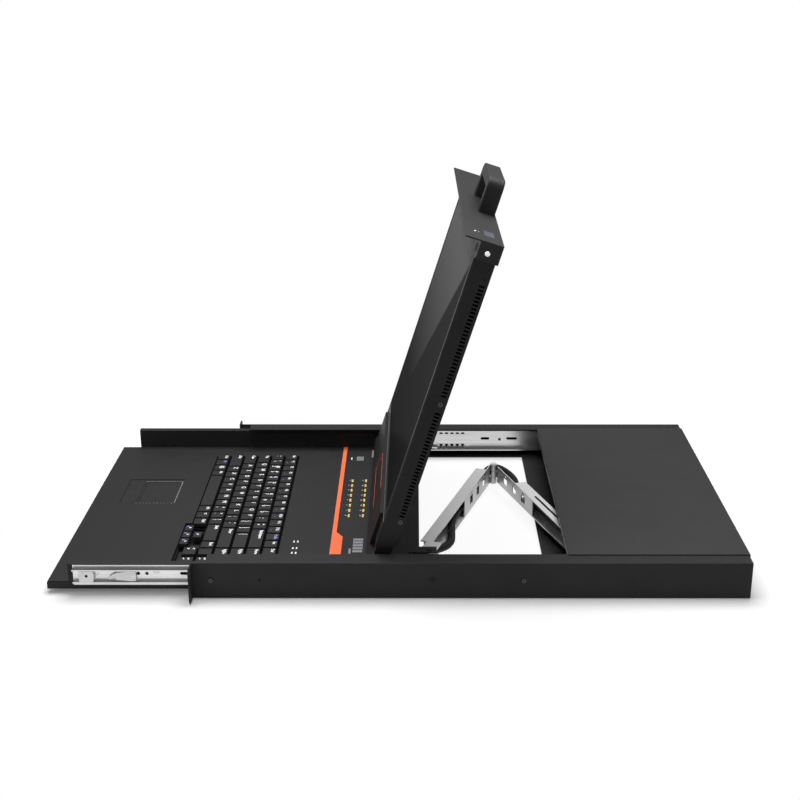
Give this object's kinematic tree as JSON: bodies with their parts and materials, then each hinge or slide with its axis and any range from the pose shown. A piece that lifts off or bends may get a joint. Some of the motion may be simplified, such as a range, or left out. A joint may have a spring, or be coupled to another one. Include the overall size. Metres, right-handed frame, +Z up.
{
  "type": "rackmount lcd console drawer",
  "caption": "Rack console drawer: a sliding tray with keyboard and touchpad, a fold-up display with pull handle, telescopic slides and a folding cable arm.",
  "frame": {"origin": "centre of the rack-ear hole pattern, on the rear face of the ears that meets the rack posts", "axes": "+X to the user's right, +Y into the rack, +Z up"},
  "size_m": [0.4826, 0.804, 0.4475],
  "materials": {
    "black_paint": "satin black powder coat",
    "black_cover": "satin black powder coat",
    "zinc_steel": "zinc-plated, lightly brushed",
    "black_screw": "black oxide",
    "white_plastic": "moulded, fine matte",
    "black_plastic": "fine matte moulded",
    "key_plastic": "fine matte moulded",
    "grey_plastic": "smooth moulded",
    "button_grey": "smooth moulded",
    "orange": "printed film, satin",
    "lamp": "translucent lens",
    "screen": "glossy dark panel",
    "green_board": "solder mask",
    "port_metal": "nickel shell",
    "sleeve": "braided sleeve",
    "case_steel": "galvanised"
  },
  "bodies": {
    "chassis": {"side_rail_left": "black_paint", "side_rail_right": "black_paint", "rack_ear_left": "black_paint", "rack_ear_right": "black_paint", "chassis_screws": "black_screw", "rear_floor": "black_paint", "rear_panel": "black_paint", "top_cover": "black_cover", "switch_board": "green_board", "power_supply": "case_steel", "port_connectors": "port_metal", "power_inlet": "black_plastic", "slide_outer_left": "zinc_steel", "slide_outer_right": "zinc_steel", "arm_bracket_rear": "zinc_steel", "cable_board": "sleeve"},
    "rocker": {"power_rocker": "black_plastic"},
    "slide_mids": {"slide_mid_left": "zinc_steel", "slide_mid_right": "zinc_steel"},
    "cages_outer": {"ball_cages_outer": "zinc_steel"},
    "cages_inner": {"ball_cages_inner": "zinc_steel"},
    "tray": {"slide_inner_left": "zinc_steel", "slide_inner_right": "zinc_steel", "slide_bumpers": "white_plastic", "tray_pan": "black_paint", "tray_side_left": "black_paint", "tray_side_right": "black_paint", "tray_deck": "black_paint", "keyboard_base": "black_plastic", "touchpad_frame": "grey_plastic", "touchpad_plate": "grey_plastic", "accent_stripe": "orange", "channel_lamps": "lamp", "arm_bracket_front": "zinc_steel", "hinge_brackets": "black_paint"},
    "lever_left": {"release_lever_left": "white_plastic"},
    "lever_right": {"release_lever_right": "white_plastic"},
    "pad_button_left": {"touchpad_button_left": "grey_plastic"},
    "pad_button_right": {"touchpad_button_right": "grey_plastic"},
    "select": {"select_button": "button_grey"},
    "display": {"display_shell": "black_paint", "display_chin": "black_paint", "display_bezel": "black_paint", "screen_glass": "screen", "screen_module": "case_steel", "front_cap": "black_paint", "pull_handle": "black_paint"},
    "arm_front": {"arm_link_front": "zinc_steel", "cable_tray": "sleeve", "cable_elbow": "sleeve"},
    "arm_rear": {"arm_link_rear": "zinc_steel", "cable_link": "sleeve"},
    "keys_1": {"key_row_1": "key_plastic"},
    "keys_2": {"key_row_2": "key_plastic"},
    "keys_3": {"key_row_3": "key_plastic"},
    "keys_4": {"key_row_4": "key_plastic"},
    "keys_5": {"key_row_5": "key_plastic"},
    "keys_6": {"key_row_6": "key_plastic"}
  },
  "joints": [
    {"name": "tray_slide", "type": "slide", "parent": "chassis", "child": "tray", "axis": [0, -1, 0], "range_m": [-0.168, 0.256]},
    {"name": "slide_mid_travel", "type": "slide", "parent": "chassis", "child": "slide_mids", "axis": [0, -1, 0], "range_m": [-0.0845, 0.1285]},
    {"name": "cage_outer_travel", "type": "slide", "parent": "chassis", "child": "cages_outer", "axis": [0, -1, 0], "range_m": [-0.0425, 0.0645]},
    {"name": "cage_inner_travel", "type": "slide", "parent": "chassis", "child": "cages_inner", "axis": [0, -1, 0], "range_m": [-0.1265, 0.1925]},
    {"name": "display_fold", "type": "hinge", "parent": "tray", "child": "display", "pos_m": [0, 0.206, 0.005], "axis": [1, 0, 0], "range_deg": [-10, 107.7]},
    {"name": "arm_front_pivot", "type": "hinge", "parent": "tray", "child": "arm_front", "pos_m": [0.17, 0.268, -0.001], "axis": [0, 0, 1], "range_deg": [-28.6, 18.8], "deforming": ["cable_tray"]},
    {"name": "arm_elbow", "type": "hinge", "parent": "arm_front", "child": "arm_rear", "pos_m": [-0.09443, 0.35699, -0.001], "axis": [0, 0, 1], "range_deg": [-37.6, 57.2], "deforming": ["cable_elbow", "cable_board"]},
    {"name": "key_row_1_press", "type": "slide", "parent": "tray", "child": "keys_1", "axis": [0, 0, -1], "range_m": [0, 0.002], "stiffness_N_per_m": 500, "springref_m": -0.003},
    {"name": "key_row_2_press", "type": "slide", "parent": "tray", "child": "keys_2", "axis": [0, 0, -1], "range_m": [0, 0.002], "stiffness_N_per_m": 500, "springref_m": -0.003},
    {"name": "key_row_3_press", "type": "slide", "parent": "tray", "child": "keys_3", "axis": [0, 0, -1], "range_m": [0, 0.002], "stiffness_N_per_m": 500, "springref_m": -0.003},
    {"name": "key_row_4_press", "type": "slide", "parent": "tray", "child": "keys_4", "axis": [0, 0, -1], "range_m": [0, 0.002], "stiffness_N_per_m": 500, "springref_m": -0.003},
    {"name": "key_row_5_press", "type": "slide", "parent": "tray", "child": "keys_5", "axis": [0, 0, -1], "range_m": [0, 0.002], "stiffness_N_per_m": 500, "springref_m": -0.003},
    {"name": "key_row_6_press", "type": "slide", "parent": "tray", "child": "keys_6", "axis": [0, 0, -1], "range_m": [0, 0.002], "stiffness_N_per_m": 500, "springref_m": -0.003},
    {"name": "pad_button_left_press", "type": "slide", "parent": "tray", "child": "pad_button_left", "axis": [0, 0, -1], "range_m": [0, 0.0008], "stiffness_N_per_m": 300, "springref_m": -0.002},
    {"name": "pad_button_right_press", "type": "slide", "parent": "tray", "child": "pad_button_right", "axis": [0, 0, -1], "range_m": [0, 0.0008], "stiffness_N_per_m": 300, "springref_m": -0.002},
    {"name": "select_press", "type": "slide", "parent": "tray", "child": "select", "axis": [0, 0, -1], "range_m": [0, 0.001], "stiffness_N_per_m": 200, "springref_m": -0.002},
    {"name": "rocker_tilt", "type": "hinge", "parent": "chassis", "child": "rocker", "pos_m": [0.184, 0.626, 0], "axis": [-1, 0, 0], "range_deg": [0, 13]},
    {"name": "release_left", "type": "hinge", "parent": "tray", "child": "lever_left", "pos_m": [-0.2135, -0.068, 0.001], "axis": [1, 0, 0], "range_deg": [0, 5], "stiffness_Nm_per_rad": 0.08, "springref_deg": -17.19},
    {"name": "release_right", "type": "hinge", "parent": "tray", "child": "lever_right", "pos_m": [0.2135, -0.068, 0.001], "axis": [1, 0, 0], "range_deg": [0, 5], "stiffness_Nm_per_rad": 0.08, "springref_deg": -17.19}
  ],
  "couplings": [
    {"joint": "slide_mid_travel", "follows": "tray_slide", "ratio": 0.5},
    {"joint": "cage_outer_travel", "follows": "tray_slide", "ratio": 0.25},
    {"joint": "cage_inner_travel", "follows": "tray_slide", "ratio": 0.75},
    {"joint": "arm_front_pivot", "follows": "tray_slide", "rad_per_m": -1.93},
    {"joint": "arm_elbow", "follows": "tray_slide", "rad_per_m": 3.86}
  ]
}
